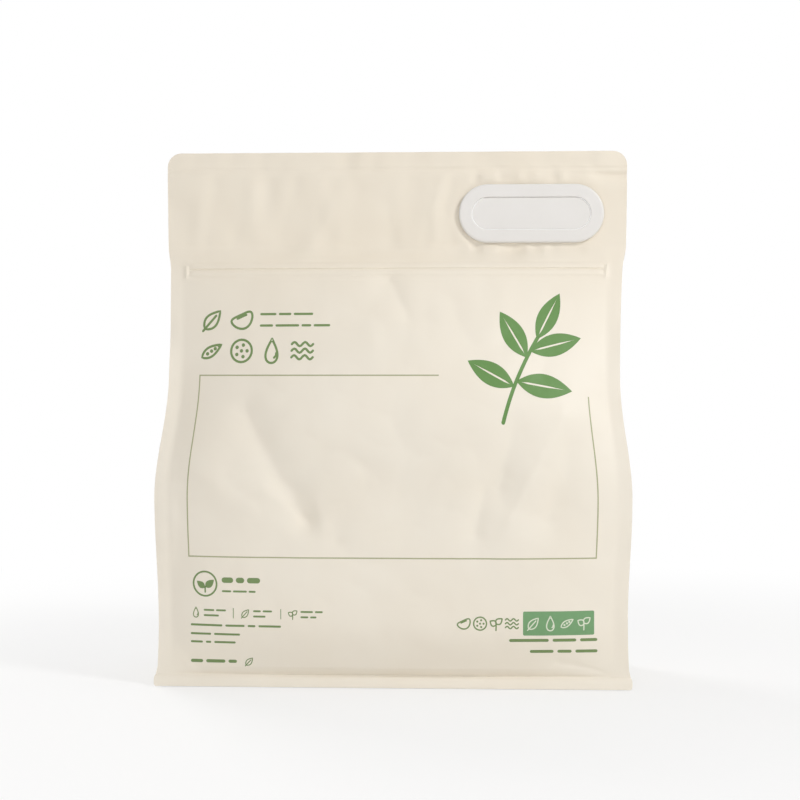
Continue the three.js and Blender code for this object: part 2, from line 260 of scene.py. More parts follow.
def level(z, key):  # smooth between the levels, without overshoot
    at, values = np.array(levels["z"], float), np.array(levels[key], float)
    steps = np.diff(values) / np.diff(at)
    slopes = np.zeros(len(at))
    same = steps[:-1] * steps[1:] > 0
    total = np.where(same, steps[:-1] + steps[1:], 1)
    slopes[1:-1] = np.where(same, 2 * steps[:-1] * steps[1:] / total, 0)
    i = np.clip(np.searchsorted(at, z, side="left") - 1, 0, len(at) - 2)
    span = at[i + 1] - at[i]
    t = np.clip((z - at[i]) / span, 0, 1)
    rise = values[i] + (values[i + 1] - values[i]) * t * t * (3 - 2 * t)
    return rise + slopes[i] * t * (1 - t) ** 2 * span + slopes[i + 1] * t * t * (t - 1) * span


def smooth(value, low, high):
    t = np.clip((value - low) / (high - low), 0, 1)
    return t * t * (3 - 2 * t)


def ridge(value, at, width):  # a soft hump, 1 high
    return np.exp(-(((value - at) / width) ** 2))


def waves(x, z, size, seed):  # smooth random heights from -1 to 1 over a plane
    cells = 64
    grid = np.random.default_rng(seed).uniform(-1, 1, (cells, cells))
    a, b = x / size + 31.7, z / size + 17.3
    i, j = np.floor(a).astype(int), np.floor(b).astype(int)
    s, t = a - i, b - j
    s, t = s * s * (3 - 2 * s), t * t * (3 - 2 * t)
    i, j, k, m = i % cells, j % cells, (i + 1) % cells, (j + 1) % cells
    low = grid[i, j] * (1 - s) + grid[k, j] * s
    high = grid[i, m] * (1 - s) + grid[k, m] * s
    return low * (1 - t) + high * t


# Folds of the front panel, in millimetres across from its middle and up from the floor.
# A depth below zero stands out, and a low sharpness gives a keen fold.
folds = {
    "front": [
        {"line": [(-92, 172), (-75, 140), (-54, 106)], "width": 13, "depth": 4.6, "sharp": 1.2},
        {"line": [(-62, 113), (-52, 104)], "width": 4, "depth": 1.6, "sharp": 1.2},
        {"line": [(-79, 124), (-61, 110)], "width": 6, "depth": -1.5, "sharp": 1.4},
        {"line": [(-46, 116), (-42, 101)], "width": 5, "depth": -1.0, "sharp": 1.3},
        {"line": [(-138, 147), (-98, 118), (-56, 94)], "width": 15, "depth": -2.0, "sharp": 1.3},
        {"line": [(-3, 256), (3, 246), (10, 232)], "width": 6, "depth": 2.3, "sharp": 1.2},
        {"line": [(20, 240), (22, 228)], "width": 8, "depth": 1.3, "sharp": 1.5},
        {"line": [(-13, 226), (-10, 206)], "width": 9, "depth": -0.9, "sharp": 1.6},
        {"line": [(107, 170), (88, 135), (73, 107)], "width": 9, "depth": -2.6, "sharp": 1.2},
        {"line": [(76, 160), (70, 140), (67, 126)], "width": 10, "depth": 3.0, "sharp": 1.3},
        {"line": [(58, 121), (52, 97)], "width": 6, "depth": 2.4, "sharp": 1.2},
        {"line": [(110, 150), (105, 128), (98, 106)], "width": 10, "depth": 2.8, "sharp": 1.4},
        {"line": [(86, 44), (112, 43), (130, 41)], "width": 1.6, "depth": 0.35, "sharp": 1.2},
        {"line": [(-130, 208), (-104, 212)], "width": 8, "depth": 0.9, "sharp": 1.5},
        {"line": [(30, 324), (24, 302), (26, 284)], "width": 4, "depth": -0.9, "sharp": 1.4},
        {"line": [(36, 320), (32, 302)], "width": 3, "depth": 0.7, "sharp": 1.4},
        {"line": [(-6, 306), (2, 273)], "width": 7, "depth": 0.9, "sharp": 1.5},
        {"line": [(-62, 273), (-42, 302)], "width": 8, "depth": -0.7, "sharp": 1.6},
        {"line": [(124, 329), (131, 316)], "width": 3.5, "depth": -0.7, "sharp": 1.4},
        {"line": [(-137, 150), (-134, 112), (-136, 82)], "width": 6, "depth": 1.3, "sharp": 1.4},
        {"line": [(104, 17), (124, 13), (141, 7)], "width": 1.7, "depth": 1.3, "sharp": 1.1},
        {"line": [(-132, 13), (-141, 8)], "width": 1.5, "depth": 1.0, "sharp": 1.1},
        {"line": [(140, 22), (137, 44)], "width": 3.5, "depth": 0.8, "sharp": 1.3},
        {"line": [(-120, 10), (-135, 26)], "width": 4, "depth": 0.7, "sharp": 1.3},
        {"line": [(-141, 120), (-134, 108)], "width": 4, "depth": 1.1, "sharp": 1.3},
        {"line": [(141, 100), (132, 88)], "width": 5, "depth": 1.2, "sharp": 1.3},
    ],
    "back": [
        {"line": [(-95, 168), (-70, 118)], "width": 14, "depth": 3.4, "sharp": 1.4},
        {"line": [(60, 176), (74, 140), (64, 110)], "width": 13, "depth": 3.6, "sharp": 1.3},
        {"line": [(108, 150), (88, 108)], "width": 9, "depth": -1.8, "sharp": 1.3},
        {"line": [(4, 252), (-8, 228)], "width": 8, "depth": 1.8, "sharp": 1.4},
        {"line": [(-120, 132), (-84, 98)], "width": 12, "depth": -1.6, "sharp": 1.4},
        {"line": [(30, 300), (26, 274)], "width": 6, "depth": 0.7, "sharp": 1.5},
    ],
    "gusset": [
        {"line": [(48, 3), (6, 47)], "width": 3.4, "depth": 0.7, "sharp": 1.4},
        {"line": [(46, 128), (10, 96)], "width": 7, "depth": 1.8, "sharp": 1.3},
        {"line": [(44, 160), (6, 122)], "width": 6, "depth": -1.4, "sharp": 1.3},
    ],
    "ripple": 0.55,  # how far the small unevenness reaches
    "flute": 1.15,  # the wavy band between the strip and the top seal
    "cornerFold": {"z": 324.8, "width": 3.2, "across": (82, 136), "rise": 2.6},  # under the top seal
    "sealLine": {"z": 330, "width": 1.3, "rise": 0.5},
    "edgeWave": 0.45,
    "baseCrease": {"z": 7.6, "width": 0.9, "depth": 0.9},  # over the base seal
    "strip": {"rise": 0.85, "lineDepth": 1.05, "lineWidth": 0.8, "ends": (132.5, 135), "crush": 1.1},
    "finWave": 0.8,
    "pucker": 1.6,  # the gathered film round the handle
    "sideFold": 1.6,
}
ring = {"length": 94.5, "height": 38, "slotLength": 77, "slotHeight": 21}


def foldDepth(x, z, lines):
    total = np.zeros(np.broadcast(x, z).shape)
    for fold in lines:
        nearest = np.full(total.shape, 1e9)
        for (x0, z0), (x1, z1) in zip(fold["line"], fold["line"][1:]):
            dx, dz = x1 - x0, z1 - z0
            t = np.clip(((x - x0) * dx + (z - z0) * dz) / (dx * dx + dz * dz), 0, 1)
            nearest = np.minimum(nearest, np.hypot(x - x0 - t * dx, z - z0 - t * dz))
        total += fold["depth"] * np.exp(-np.hypot(nearest / fold["width"], 0.12) ** fold["sharp"])
    return total


def fromHandle(x, z):  # distance outwards from the ring's edge
    straight = (ring["length"] - ring["height"]) / 2
    return np.hypot(np.maximum(0, np.abs(x - slotX) - straight), z - slotZ) - ring["height"] / 2


def sheetBend(x, z):  # the header bends as one sheet, and lies flat between the handle's rings
    away = smooth(fromHandle(x, z), 1.5, 16)
    up = smooth(z, 268, 290)
    slant = x + 0.22 * z
    wave = waves(slant, z * 0.42, 17, 3) * (0.75 + 0.6 * waves(x * 0.5, z * 0.6, 27, 8))
    wave += 0.45 * waves(x - 0.1 * z, z * 0.5, 8.5, 4)
    edge = smooth(z, 326, pouch["height"]) * waves(x, z * 0.2, 10, 5) * folds["edgeWave"]
    fold, line = folds["cornerFold"], folds["sealLine"]
    corner = smooth(x, *fold["across"]) * ridge(z, fold["z"], fold["width"]) * fold["rise"]
    sealLine = ridge(z, line["z"], line["width"]) * (0.7 + 0.5 * waves(x, 0 * z, 26, 9)) * line["rise"]
    return (up * wave * folds["flute"] + edge + corner + sealLine) * away


def finBend(x, z, root, seal, seed):  # the corner seals wave in and out
    out = np.clip((np.abs(x) - root) / seal, 0, 1)
    side = np.where(x > 0, 1, -1)
    wave = waves(z * side, side * 9, 21, seed) + 0.5 * waves(z * side, side * 9, 8, seed + 1)
    calm = smooth(z, 4, 22) * (1 - smooth(z, 236, fillZ))
    return out * out * wave * folds["finWave"] * calm


def stripRelief(x, z):  # the closing strip shows as a band with a line, crushed flat at its ends
    strip, half, away = folds["strip"], pouch["stripHeight"] / 2, np.abs(z - stripZ)
    band = 1 - smooth(away, half - 1.5, half + 0.1)
    line = 1 - smooth(away, 0, strip["lineWidth"])
    below = ridge(z - stripZ, -7.6, 1.1) * 0.22
    inside = 1 - smooth(np.abs(x), *strip["ends"])
    crush = ridge(np.abs(x), 136, 0.9) * np.exp(-(((z - stripZ) / 6.5) ** 4)) * strip["crush"]
    return (band * strip["rise"] - line * strip["lineDepth"] + below) * inside + crush


def crumple(x, z, size, turn, seed):  # creased unevenness, like film that has been squeezed
    c, s = math.cos(turn), math.sin(turn)
    return 0.5 - 1.4 * np.abs(waves(x * c + z * s, z * c - x * s, size, seed))


def panelPress(x, z, u, facing):  # how far the front or back is pressed in
    side, seed = ("front", 11) if facing > 0 else ("back", 41)
    still = 1 - np.abs(u) ** 8
    filled = smooth(z, 8, 40) * (1 - smooth(z, 240, fillZ))
    rough = waves(x, z, 31, seed) * 0.9 + crumple(x, z, 34, 0.6, seed + 1) * 1.5
    rough += crumple(x, z, 17, 1.1, seed + 2) * 0.62 + crumple(x, z, 8.5, 0.3, seed + 3) * 0.24
    tucks = waves(x * 0.25, z, 6.5, seed + 7) * ridge(1 - np.abs(u), 0, 0.09) * 0.5 * filled
    flutes = smooth(z, 266, 276) * (1 - smooth(z, 322, 331)) * waves(x, z * 0.35, 9.5, seed + 4) * 0.3
    above = ridge(z, 274, 13) * smooth(z, 268, 272)  # next to the strip, over and under it
    flutes += above * (waves(x, z * 0.3, 12, seed + 8) * 0.75 + waves(x, z * 0.4, 5.5, seed + 9) * 0.25)
    under = ridge(z, 253, 12) * waves(x, z * 0.3, 11, seed + 5) * 0.45
    away = fromHandle(x, z)
    gathers = waves(x, z * 0.25, 5.6, seed + 6) * ridge(np.maximum(0, away), 0, 8) * folds["pucker"]
    crease = folds["baseCrease"]
    pressed = foldDepth(x, z, folds[side]) + rough * folds["ripple"] * filled + tucks + under
    pressed += ridge(z, crease["z"], crease["width"]) * crease["depth"]
    pressed = (pressed + flutes + gathers * smooth(z, fillZ, 270)) * smooth(away, 0.5, 4) * still
    return pressed - (stripRelief(x, z) if facing > 0 else 0)


def gussetPress(y, z, v, seed):  # how far a side is pressed in
    height = np.full(y.shape, z)
    mirrored = [{**fold, "line": [(-a, b) for a, b in fold["line"]]} for fold in folds["gusset"]]
    middle = np.exp(-np.abs(v) / 0.09) * folds["sideFold"] * smooth(z, 10, 50)
    rough = waves(y, height, 24, seed) * 0.9 + crumple(y, height, 22, 0.5, seed + 2) * 1.3
    rough += crumple(y, height, 10, 1.0, seed + 4) * 0.45
    slack = waves(y * 0.35, height, 13, seed + 6) * (1 - v * v) * 1.6 * smooth(z, 130, 170)
    keep = (1 - v**4) * smooth(z, 6, 30)
    upper = 1 - smooth(z, 215, fillZ)
    pressed = middle + foldDepth(y, height, folds["gusset"] + mirrored) + rough * 0.8
    return pressed * keep * upper + slack * upper


across, gussetSteps, finSteps = 150, 40, 4  # points over the front, a side and a corner seal
finSeed, gussetSeed = 20, 60


def filmRing(z, halfWidth, halfDepth, seal, swell, side, crease, isBody):
    half = pouch["film"] / 2
    root = halfWidth - seal
    fin = root + seal * (1 - np.arange(finSteps) / finSteps)
    u = np.linspace(-1, 1, across + 1)
    v = np.linspace(-1, 1, gussetSteps + 1)
    closing = float(smooth(z, 258, 284))  # the corner seals lie on each other beside the header
    edge, inner = halfDepth + half, (halfDepth - half) * (1 - closing) + 0.1 * closing
    fullness = 2 + 1.7 * float((1 - smooth(z, 140, 225)) * smooth(z, 5, 40))
    rounding = 0.03 + 0.4 * (1 - smooth(z, 112, 205))  # the middle fold opens out towards the litter
    folded = crease * smooth(z, 112, 168) * (1 - np.sqrt(v * v + rounding**2) / math.hypot(1, rounding))

    def bend(x, which):  # a corner seal bends with both its faces
        if not isBody:
            return np.zeros(x.shape)
        return finBend(x, np.full(x.shape, z), root, seal, finSeed + which)

    parts = []
    for facing in (1, -1):
        x = np.concatenate([-fin, root * u, fin[::-1]]) * facing
        y = np.full(x.shape, edge)
        pressed = panelPress(root * u, np.full(u.shape, z), u, facing) if isBody else 0
        y[finSteps:-finSteps] += swell * (1 - np.abs(u) ** fullness) - pressed
        parts.append(np.stack([x, -facing * (y + bend(x, facing)), np.full(x.shape, z)], 1))
        pressed = gussetPress(v * halfDepth * facing, z, v, gussetSeed + facing) if isBody else 0
        x = np.concatenate([fin, root + side * (1 - v * v) - folded - pressed, fin[::-1]])
        near, far = bend(fin * facing, facing), bend(fin * facing, -facing)
        y = np.concatenate([-inner - near, inner * v, (inner + far)[::-1]])
        parts.append(np.stack([x * facing, y * facing, np.full(x.shape, z)], 1))
    points = np.concatenate(parts)
    points[:, 1] += sheetBend(points[:, 0], points[:, 2])
    return points


def bodyRing(z):
    halfDepth = float(level(z, "halfDepth"))
    halfWidth = pouch["panelWidth"] / 2 - float(level(z, "drawIn"))
    crease = math.sqrt(max(0, (pouch["baseDepth"] / 2) ** 2 - halfDepth**2))
    swell, side = float(level(z, "swell")), float(level(z, "side"))
    return filmRing(z, halfWidth, halfDepth, pouch["cornerSeal"], swell, side, crease, True)


def topRing(z):
    above = max(0, 1 - (pouch["height"] - z) / pouch["topCornerRadius"])
    cut = pouch["topCornerRadius"] * (1 - math.sqrt(max(0, 1 - above**2)))
    halfWidth = pouch["panelWidth"] / 2 - cut
    seal = max(0.4, halfWidth - rootX)
    return filmRing(z, halfWidth, pouch["topSealThickness"] / 2 - 0.2, seal, 0, 0, 0, False)


def baseRing(z, inset):
    halfWidth, halfDepth = rootX - inset, pouch["baseDepth"] / 2 - inset
    return filmRing(z, halfWidth, halfDepth, 0.4, 0.5, 0.5, 0, False)


def skirtRing(z, flare, cut):
    halfWidth, halfDepth = pouch["panelWidth"] / 2 - cut, pouch["baseDepth"] / 2 + flare
    return filmRing(z, halfWidth, halfDepth, pouch["cornerSeal"], 0.5, flare, 0, False)


def ringHeights():  # closer together at the base seal, the strip and the top seal
    half = pouch["stripHeight"] / 2
    low, high = stripZ - half - 4.5, stripZ + half + 1.5
    ends = [pouch["baseSeal"], footZ, low, high, gatherZ]
    counts = [pouch["footRings"], round((low - pouch["baseSeal"]) / pouch["step"])]
    counts += [round((high - low) / pouch["stripStep"]), round((gatherZ - high) / pouch["headerStep"])]
    spans = [np.linspace(a, b, count, endpoint=False) for a, b, count in zip(ends, ends[1:], counts)]
    return np.concatenate(spans + [np.linspace(gatherZ, sealZ, pouch["sealRoundRings"])])


def finished(built, mesh, material, keen):  # smooth, with sharp lines where it turns by more than keen
    for face in built.faces:
        face.smooth = True
    for line in built.edges:
        line.smooth = line.calc_face_angle(0) < keen
    built.to_mesh(mesh)
    built.free()
    made = bpy.data.objects.new(mesh.name, mesh)
    bpy.context.collection.objects.link(made)
    mesh.materials.append(material)
    return made


def meshFrom(name, vertices, faces, material, keen=0.6):
    mesh = bpy.data.meshes.new(name)
    mesh.from_pydata([tuple(v) for v in np.asarray(vertices) * mm], [], faces)
    built = bmesh.new()
    built.from_mesh(mesh)
    bmesh.ops.recalc_face_normals(built, faces=built.faces)
    return finished(built, mesh, material, keen)


def loftFaces(rows, count):
    faces = []
    for r in range(rows - 1):
        for k in range(count):
            a, b = r * count + k, r * count + (k + 1) % count
            faces.append((a, b, b + count, a + count))
    return faces


def makePouch(material):
    heights = ringHeights()
    rings = [baseRing(*row) for row in pouch["baseRings"]] + [skirtRing(*row) for row in pouch["sealRings"]]
    first = len(rings)
    rings += [bodyRing(z) for z in heights]
    radius = pouch["topCornerRadius"]
    rounded = [pouch["height"] - radius + radius * math.sin(math.pi / 2 * k / 12) for k in range(2, 13)]
    rings += [topRing(z) for z in [sealZ + 0.8] + rounded]
    count = len(rings[0])
    faces = loftFaces(len(rings), count)
    vertices = np.concatenate(rings + [[(0, 0, 0)]])
    last = (len(rings) - 1) * count
    faces += [(len(vertices) - 1, (k + 1) % count, k) for k in range(count)]
    panel, gusset = across + 1 + 2 * finSteps, gussetSteps + 1 + 2 * finSteps
    back = last + panel + gusset + panel - 1  # the point behind the front's first one
    faces += [(last + k, last + k + 1, back - k - 1, back - k) for k in range(panel - 1)]
    faces.append(tuple(range(last + panel - 1, last + panel + gusset + 1)))
    faces.append((*range(back, back + gusset + 1), last))
    film = meshFrom("film_pouch", vertices, faces, material)
    grid = np.stack([r[finSteps : finSteps + across + 1] for r in rings[first : first + len(heights)]])
    return film, heights, grid


# The handle: two clamped rings with a collar through the film. Depths are behind the film's middle.
handle = {
    "face": -4.9,
    "back": -2.5,
    "lipBack": -3.1,
    "flapFront": -4.1,
    "flapBack": -2.9,
    "flapGap": 0.35,
    "collarLength": 77.6,
    "collarLow": 289.7,
    "collarHigh": 311.3,
    "collarCorner": 1.8,
    "collarWall": 1.2,
    "collarEnd": 5.6,
    "beadFront": 4.8,
    "beadRise": 0.5,
    "backFront": 2.5,
    "backBack": 4.5,
    "seat": 0.3,
    "filmGap": 0.2,
    "plateFace": [  # the front plate's section: outwards from the slot, and behind the face
        (0, 0.45), (0.08, 0.2), (0.28, 0.06), (0.55, 0), (1.1, 0.02), (1.7, 0.1),
        (4.5, 0.04), (6.9, 0.06), (7.6, 0.16), (8.1, 0.42), (8.4, 0.8), (8.5, 1.25),
    ],
}


def ovalPath(reach):  # the slot's outline, moved outwards
    straight = (ring["slotLength"] - ring["slotHeight"]) / 2
    radius = ring["slotHeight"] / 2 + reach
    arc = np.linspace(-math.pi / 2, math.pi / 2, 41)
    right = np.stack([slotX + straight + radius * np.cos(arc), slotZ + radius * np.sin(arc)], 1)
    left = np.stack([slotX - straight - radius * np.cos(arc), slotZ - radius * np.sin(arc)], 1)
    return np.concatenate([right, left])


def roundedBox(x, half, low, top, radius, steps):  # given by the middles of its corners
    points = []
    for side, z, start in ((1, low, -90), (1, top, 0), (-1, top, 90), (-1, low, 180)):
        for k in range(steps + 1):
            a = math.radians(start + 90 * k / steps)
            points.append((x + side * half + radius * math.cos(a), z + radius * math.sin(a)))
    return points


def collarPath(reach):
    h = handle
    radius = max(0.05, h["collarCorner"] + reach)
    half = h["collarLength"] / 2 + reach - radius
    top, low = h["collarHigh"] + reach - radius, h["collarLow"] - reach + radius
    return np.array(roundedBox(slotX, half, low, top, radius, 8))


def sweep(profile, path):  # a closed section carried round a closed outline
    rows = [upright(path(reach), y) for reach, y in profile]
    count = len(rows[0])
    faces = loftFaces(len(rows), count)
    last = (len(rows) - 1) * count
    faces += [(last + k, last + (k + 1) % count, (k + 1) % count, k) for k in range(count)]
    return np.concatenate(rows), faces


def joined(*pieces):
    vertices, faces = [], []
    for points, sides in pieces:
        start = sum(len(v) for v in vertices)
        vertices.append(points)
        faces += [tuple(start + i for i in side) for side in sides]
    return np.concatenate(vertices), faces


def makeFrontRing(material):
    h = handle
    back, lip = h["back"], h["lipBack"]
    plate = [(reach, h["face"] + depth) for reach, depth in h["plateFace"]]
    plate += [(8.5, back - 0.25), (8.3, back), (5, back), (4.6, lip), (0, lip)]
    end, wall = h["collarEnd"], h["collarWall"]
    bead = wall + h["seat"] + h["beadRise"]
    collar = [(0, lip), (0, end - 0.3), (0.3, end), (bead - 0.3, end), (bead, end - 0.3)]
    collar += [(bead, h["beadFront"] + 0.1), (bead - 0.1, h["beadFront"]), (wall, h["beadFront"])]
    collar += [(wall, lip)]
    vertices, faces = joined(sweep(plate, ovalPath), sweep(collar, collarPath))
    return meshFrom("handle_ring_front", vertices, faces, material, keen=0.75)


def upright(outline, y):  # an outline across and up, set at a depth
    return np.stack([outline[:, 0], np.full(len(outline), y), outline[:, 1]], 1)


def makeBackRing(material):
    near, far = handle["backFront"], handle["backBack"]
    outer = [(8.3, near), (8.5, near + 0.25), (8.5, far - 0.8), (8.3, far - 0.35)]
    outer += [(7.9, far - 0.08), (7.5, far)]
    rows = [upright(ovalPath(reach), y) for reach, y in outer]
    window = collarPath(handle["collarWall"] + handle["seat"])
    count, start = len(rows[0]), len(rows) * len(rows[0])
    faces = loftFaces(len(rows), count)
    faces += [tuple(start + i for i in face) for face in loftFaces(2, len(window))]
    for y, first, inside in ((far, start - count, start), (near, 0, start + len(window))):
        outlines = (ovalPath(outer[-1][0]), window)
        loops = [[Vector((*spot, 0)) for spot in outline] for outline in outlines]
        for corners in tessellate_polygon(loops):
            faces.append(tuple(first + i if i < count else inside + i - count for i in corners))
    vertices = np.concatenate(rows + [upright(window, far), upright(window, near)])
    return meshFrom("handle_ring_back", vertices, faces, material, keen=0.19)


def makeFlap(material):  # a plain panel, bevelled behind so that it turns clear of the ring's lip
    front, back, gap = handle["flapFront"], handle["flapBack"], handle["flapGap"]
    edge = [(0.45, front), (0.2, front + 0.02), (0.06, front + 0.12), (0, front + 0.28)]
    edge += [(0, front + 0.4), (0.9, back - 0.5), (1.8, back - 0.03), (2.2, back)]
    rows = [upright(ovalPath(-gap - inwards), y) for inwards, y in edge]
    count = len(rows[0])
    faces = loftFaces(len(rows), count)
    faces += [tuple(range(count)), tuple(range((len(rows) - 1) * count, len(rows) * count))]
    return meshFrom("handle_flap_panel", np.concatenate(rows), faces, material, keen=0.3)


def cutHandleHole(film):
    outline, through = collarPath(handle["collarWall"] + handle["filmGap"]), 30
    count = len(outline)
    vertices = np.concatenate([upright(outline, y) for y in (-through, through)])
    faces = loftFaces(2, count) + [tuple(range(count)), tuple(range(count, 2 * count))]
    cutter = meshFrom("cutter", vertices, faces, film.data.materials[0])
    cut = film.modifiers.new("hole", "BOOLEAN")
    cut.operation, cut.object, cut.solver = "DIFFERENCE", cutter, "EXACT"
    evaluated = film.evaluated_get(bpy.context.evaluated_depsgraph_get())
    mesh = bpy.data.meshes.new_from_object(evaluated)
    film.modifiers.clear()
    film.data = mesh
    bpy.data.objects.remove(cutter)


# Print: closed shapes in the film's own millimetres, laid on the finished front
printed = {
    "lift": 0.07,
    "overLift": 0.12,  # of marks that lie on the label field
    "thickness": 0.12,
    "frame": {"side": 128.5, "top": 195.5, "bottom": 82, "topEnd": 31, "rightEnd": 182, "width": 0.8},
    "mark": {"x": 86, "z": 207, "size": 82, "stem": 2.4, "rib": 0.55},
    "leaves": [  # place on the stem, turn, length and width
        (0.96, 64, 0.4, 0.15), (0.8, 14, 0.42, 0.16), (0.72, 122, 0.42, 0.16), (0.44, -10, 0.45, 0.17),
        (0.38, 152, 0.42, 0.16),
    ],
    "field": {"x": 106, "z": 42, "width": 45, "height": 15, "corner": 0.9, "gap": 10.6, "icon": 9},
    "title": {"x": -121, "upper": 231, "lower": 211, "size": 15.5, "stroke": 1.5, "gap": 20.6},
    "small": {"badge": (-118.5, 65), "icon": 6.4, "stroke": 0.6},
}


def turned(points, x, z, angle=0, size=1):
    c, s = math.cos(math.radians(angle)), math.sin(math.radians(angle))
    return [(x + size * (px * c - pz * s), z + size * (px * s + pz * c)) for px, pz in points]


def stroke(points, width, closed=False):  # a line of even width, with round ends
    line = np.array(points, float)
    if closed:
        ahead, behind = np.roll(line, -1, 0), np.roll(line, 1, 0)
    else:
        ahead = np.concatenate([line[1:], line[-1:]])
        behind = np.concatenate([line[:1], line[:-1]])
    along = ahead - behind
    along /= np.maximum(np.hypot(along[:, 0], along[:, 1]), 1e-9)[:, None]
    aside = np.stack([-along[:, 1], along[:, 0]], 1) * width / 2
    if closed:
        return [[tuple(p) for p in line + aside], [tuple(p) for p in line - aside]]
    outline = [tuple(p) for p in line + aside]
    for end, side, reverse in ((line[-1], aside[-1], False), (line[0], -aside[0], True)):
        start = math.atan2(side[1], side[0])
        cap = [(end[0] + width / 2 * math.cos(start - a), end[1] + width / 2 * math.sin(start - a))
               for a in np.linspace(0, math.pi, 7)[1:-1]]
        outline += cap
        if not reverse:
            outline += [tuple(p) for p in (line - aside)[::-1]]
    return [outline]


def circle(radius, steps=28, tall=1.0):
    return [(radius * math.cos(a), radius * tall * math.sin(a))
            for a in np.linspace(0, 2 * math.pi, steps, endpoint=False)]


def leafLoop(width, steps=14):  # from its foot at 0 to its tip at 1
    t = np.linspace(0, 1, steps)
    half = width * np.sin(math.pi * t**0.85) ** 0.9 * (1 - 0.25 * t)
    return list(zip(t, half)) + list(zip(t[-2:0:-1], -half[-2:0:-1]))


def dropLoop(steps=26):
    turn = np.linspace(0, 2 * math.pi, steps, endpoint=False)
    return [(0.36 * math.sin(a) * math.sin(a / 2) ** 1.3, 0.5 * math.cos(a)) for a in turn]


def beanLoop(steps=28):
    turn = np.linspace(0, 2 * math.pi, steps, endpoint=False)
    return [(0.48 * math.cos(a), 0.3 * math.sin(a) + 0.16 * math.cos(a) ** 2 - 0.08) for a in turn]


def wave(length, rise, steps=17):
    return [(length * (t - 0.5), rise * math.sin(4 * math.pi * t)) for t in np.linspace(0, 1, steps)]


def bar(x0, x1, z, tall):  # a short rounded bar between two places
    return stroke([(x0 + tall / 2, z), (x1 - tall / 2, z)], tall)


def icon(kind, x, z, size, width):  # simple line drawings, each within a square of `size`
    shapes = []

    def line(points, closed=False, angle=0, dx=0.0, dz=0.0, scale=1.0):
        laid = turned(points, x + dx * size, z + dz * size, angle, size * scale)
        shapes.append(stroke(laid, width, closed))

    def dot(dx, dz):
        shapes.append([turned(circle(0.075, 12), x + dx * size, z + dz * size, 0, size)])

    if kind == "leaf":
        line([(px - 0.5, pz) for px, pz in leafLoop(0.3)], True, 48)
        line([(-0.62, 0), (0.24, 0)], False, 48)
    elif kind == "drop":
        line(dropLoop(), True)
        line([(0.12, -0.28), (0.19, -0.2), (0.2, -0.1)])
    elif kind == "grains":
        line(circle(0.46), True)
        for spot in [(0, 0)] + circle(0.25, 5):
            dot(*spot)
    elif kind == "bean":
        line(beanLoop(), True, 24)
        line(beanLoop()[3:11], False, 24, scale=0.6)
    elif kind == "waves":
        for dz in (-0.27, 0, 0.27):
            line(wave(0.92, 0.085), dz=dz)
    elif kind == "sprout":
        line([(0, -0.48), (0.01, -0.2), (0, 0.02)])
        line([(px * 0.56, pz * 0.75) for px, pz in leafLoop(0.3)], True, 38)
        line([(px * 0.5, pz * 0.75) for px, pz in leafLoop(0.3)], True, 146, dz=-0.1)
    elif kind == "pod":
        line([(px - 0.5, pz) for px, pz in leafLoop(0.22)], True, 32)
        for t in (-0.22, -0.01, 0.18):
            dot(*turned([(t, 0)], 0, 0, 32)[0])
    return shapes


def words(x, z, tall, lengths, gap=1.6, fromRight=False):  # a row of short bars
    total = sum(lengths) + gap * (len(lengths) - 1)
    at = x - total if fromRight else x
    shapes = []
    for length in lengths:
        shapes.append(bar(at, at + length, z, tall))
        at += length + gap
    return shapes


def frameShapes():
    f = printed["frame"]
    side, top, bottom, h = f["side"], f["top"], f["bottom"], f["width"] / 2

    def line(x0, x1, z0, z1):
        return [[(x0, z0), (x1, z0), (x1, z1), (x0, z1)]]

    return [
        line(-side - h, f["topEnd"], top - h, top + h),
        line(-side - h, -side + h, bottom + h, top - h),
        line(-side - h, side + h, bottom - h, bottom + h),
        line(side - h, side + h, bottom + h, f["rightEnd"]),
    ]


def markShapes():  # a sprig of five leaves, each open along its midrib
    m = printed["mark"]
    size = m["size"]

    def at(share):
        return m["x"] + share[0] * size, m["z"] + share[1] * size

    foot, bend, top = at((-0.17, -0.5)), at((-0.05, -0.12)), at((0.12, 0.16))

    def stem(t):
        return tuple((1 - t) ** 2 * a + 2 * t * (1 - t) * b + t * t * c for a, b, c in zip(foot, bend, top))

    shapes = [stroke([stem(t) for t in np.linspace(0, 1, 19)], m["stem"])]
    for t, angle, length, width in printed["leaves"]:
        x, z = stem(t)
        s = np.linspace(0, 1, 25)
        along = s * length * size
        half = 1.2 * width * size * 3 * (s * (1 - s) ** 2 * 0.66 + s * s * (1 - s) * 0.53)
        rib = m["rib"] * np.clip((s - 0.1) / 0.1, 0, 1) * np.clip((0.86 - s) / 0.3, 0, 1)
        rib = np.minimum(rib, np.maximum(half * 0.5, 0))
        for sign in (1, -1):
            edge = list(zip(along, sign * half))
            middle = list(zip(along[::-1], sign * rib[::-1]))
            shapes.append([turned(edge + middle[1:-1], x, z, angle)])
    return shapes


def fieldShapes():
    f = printed["field"]
    r = f["corner"]
    w, h = f["width"] / 2 - r, f["height"] / 2 - r
    return [[roundedBox(f["x"], w, f["z"] - h, f["z"] + h, r, 4)]]


def fieldMarks():
    f = printed["field"]
    shapes = []
    for k, kind in enumerate(("leaf", "drop", "pod", "sprout")):
        shapes += icon(kind, f["x"] + (k - 1.5) * f["gap"], f["z"], f["icon"], 0.75)
    return shapes


